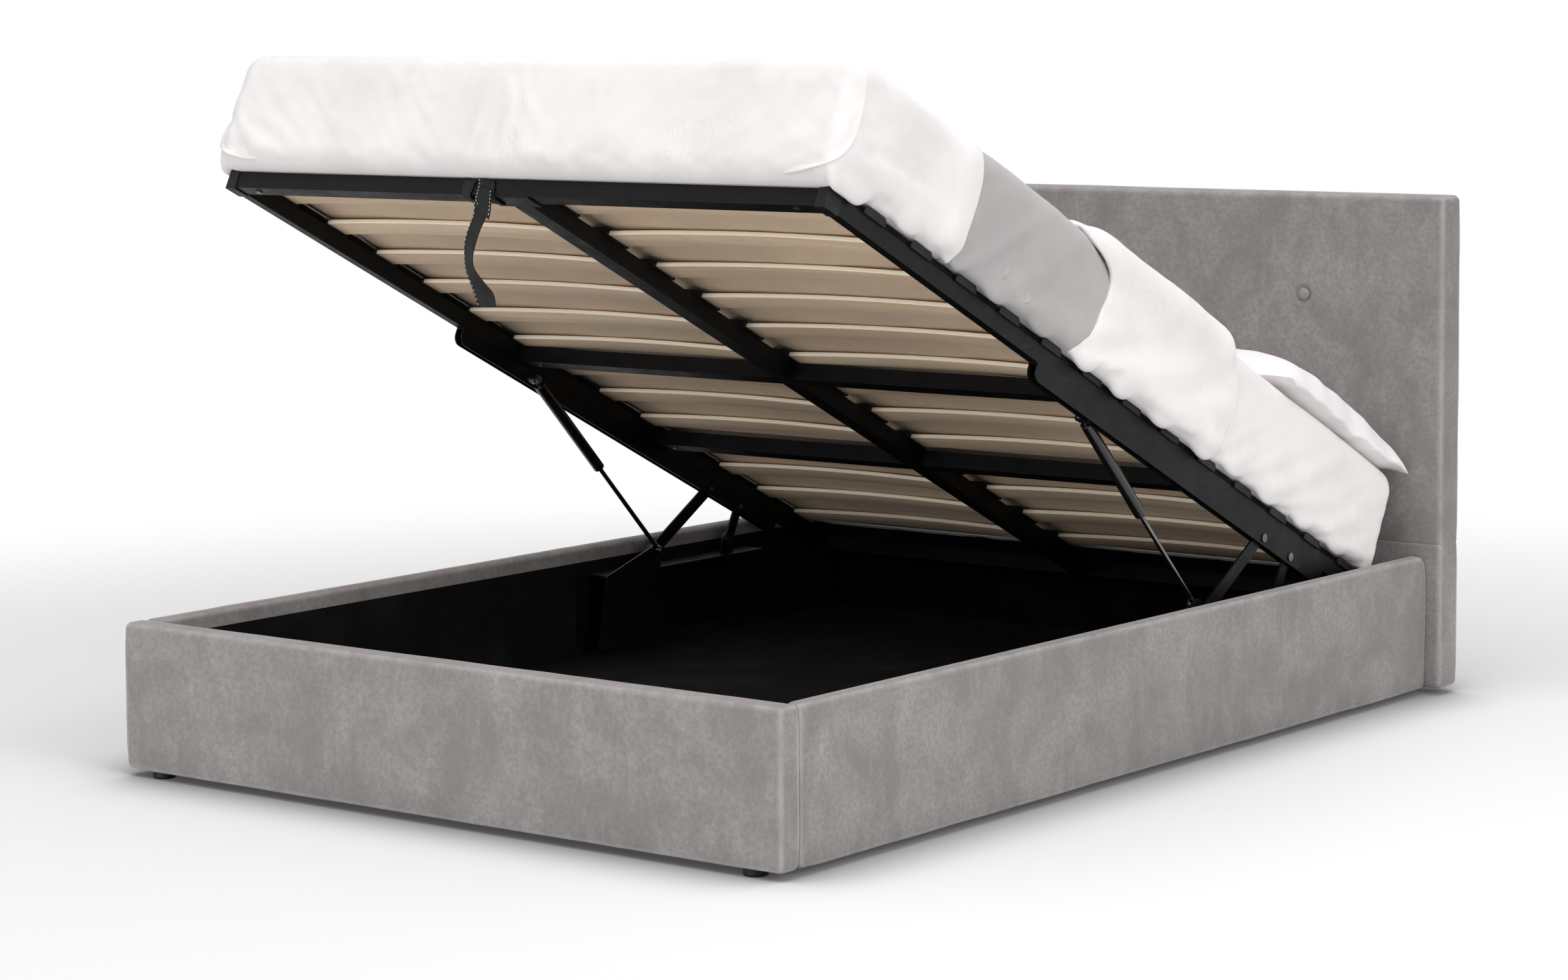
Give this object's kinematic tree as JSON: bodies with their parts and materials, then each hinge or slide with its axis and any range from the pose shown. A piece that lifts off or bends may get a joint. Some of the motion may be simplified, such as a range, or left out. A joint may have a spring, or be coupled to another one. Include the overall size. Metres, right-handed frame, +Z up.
{
  "type": "ottoman storage bed",
  "caption": "Upholstered double bed whose slatted platform, with mattress and bedding, lifts on gas struts and links over a lined storage box.",
  "frame": {"origin": "centre of the part's bounding box at floor level, under the glides", "axes": "+Y from the foot panel to the headboard, +Z up, X across the bed"},
  "size_m": [1.512, 2.103, 1.2523],
  "materials": {
    "velvet": "short velvet pile",
    "black_lining": "thin black lining cloth",
    "floor_cloth": "board covered in black cloth",
    "black_plastic": "moulded, matt",
    "batten_wood": "sawn pine",
    "slat_wood": "birch laminate, bare",
    "black_steel": "black powder coat, satin",
    "rod_steel": "black, smooth",
    "zinc_steel": "bright zinc",
    "webbing": "dark grey coated strap with white stitching",
    "mattress_cloth": "grey-beige knitted ticking",
    "white_cotton": "white cotton",
    "duvet_cotton": "white cotton, puffed",
    "pillow_cotton": "white cotton",
    "grey_throw": "soft grey knit"
  },
  "bodies": {
    "bed_box": {"foot_panel": "velvet", "side_panel_right": "velvet", "side_panel_left": "velvet", "headboard_lower": "velvet", "headboard_upper": "velvet", "headboard_buttons": "velvet", "headboard_back_cloth": "black_lining", "glides": "black_plastic", "lining_right": "black_lining", "lining_left": "black_lining", "lining_foot": "black_lining", "lining_head": "black_lining", "floor_board_foot": "floor_cloth", "floor_board_head": "floor_cloth", "floor_batten_right": "batten_wood", "floor_batten_left": "batten_wood", "centre_beam": "black_steel", "beam_feet": "black_plastic", "corner_brackets": "black_steel", "corner_bolts": "zinc_steel", "base_bracket_right": "black_steel", "base_bracket_left": "black_steel", "base_pivot_bolts": "zinc_steel", "bracket_screws": "zinc_steel"},
    "front_links": {"front_link_right": "black_steel", "front_link_left": "black_steel"},
    "platform": {"side_rail_right": "black_steel", "side_rail_left": "black_steel", "foot_rail": "black_steel", "head_rail": "black_steel", "centre_rail": "black_steel", "centre_plate": "black_steel", "cross_bar_front": "black_steel", "cross_bar_rear": "black_steel", "corner_caps": "black_plastic", "frame_bolts": "zinc_steel", "slats_right": "slat_wood", "slats_left": "slat_wood", "slat_holders_right": "black_plastic", "slat_holders_left": "black_plastic", "slat_holders_centre": "black_plastic", "lift_arm_right": "black_steel", "lift_arm_left": "black_steel", "lift_pins": "zinc_steel", "strap_turns": "webbing", "mattress": "mattress_cloth", "foot_sheet": "white_cotton", "throw": "grey_throw", "duvet": "duvet_cotton", "head_sheet": "white_cotton", "pillow_right": "pillow_cotton", "pillow_left": "pillow_cotton"},
    "rear_links": {"rear_link_right": "black_steel", "rear_link_left": "black_steel"},
    "strut_cylinders": {"strut_cylinder_right": "black_steel", "strut_cylinder_left": "black_steel"},
    "strut_rods": {"strut_rod_right": "rod_steel", "strut_rod_left": "rod_steel", "strut_end_bolts": "zinc_steel"},
    "strap": {"pull_strap": "webbing"}
  },
  "joints": [
    {"name": "front_link_swing", "type": "hinge", "parent": "bed_box", "child": "front_links", "pos_m": [0, 0.2985, 0.24515], "axis": [1, 0, 0], "range_deg": [-30.69, 0.3]},
    {"name": "platform_lift", "type": "hinge", "parent": "front_links", "child": "platform", "pos_m": [0, 0.48147, 0.35518], "axis": [1, 0, 0], "range_deg": [0, 56.39], "stiffness_Nm_per_rad": 125, "springref_deg": -126.05},
    {"name": "rear_link_swing", "type": "hinge", "parent": "bed_box", "child": "rear_links", "pos_m": [0, 0.5432, 0.2428], "axis": [1, 0, 0], "range_deg": [-60.46, 0.3]},
    {"name": "strut_swing", "type": "hinge", "parent": "platform", "child": "strut_cylinders", "pos_m": [0, -0.07315, 0.62324], "axis": [1, 0, 0], "range_deg": [-0.3, 20.62]},
    {"name": "strut_stroke", "type": "slide", "parent": "strut_cylinders", "child": "strut_rods", "axis": [0, 0.7027, -0.7115], "range_m": [-0.12472, 0.0005]},
    {"name": "strap_swing", "type": "hinge", "parent": "platform", "child": "strap", "pos_m": [0, -0.84306, 1.01333], "axis": [1, 0, 0], "range_deg": [-30, 40]}
  ],
  "couplings": [
    {"joint": "front_link_swing", "follows": "platform_lift", "ratio": -0.53893},
    {"joint": "rear_link_swing", "follows": "platform_lift", "ratio": -1.0668},
    {"joint": "strut_swing", "follows": "platform_lift", "ratio": 0.36039},
    {"joint": "strut_stroke", "follows": "platform_lift", "m_per_rad": -0.12622}
  ]
}
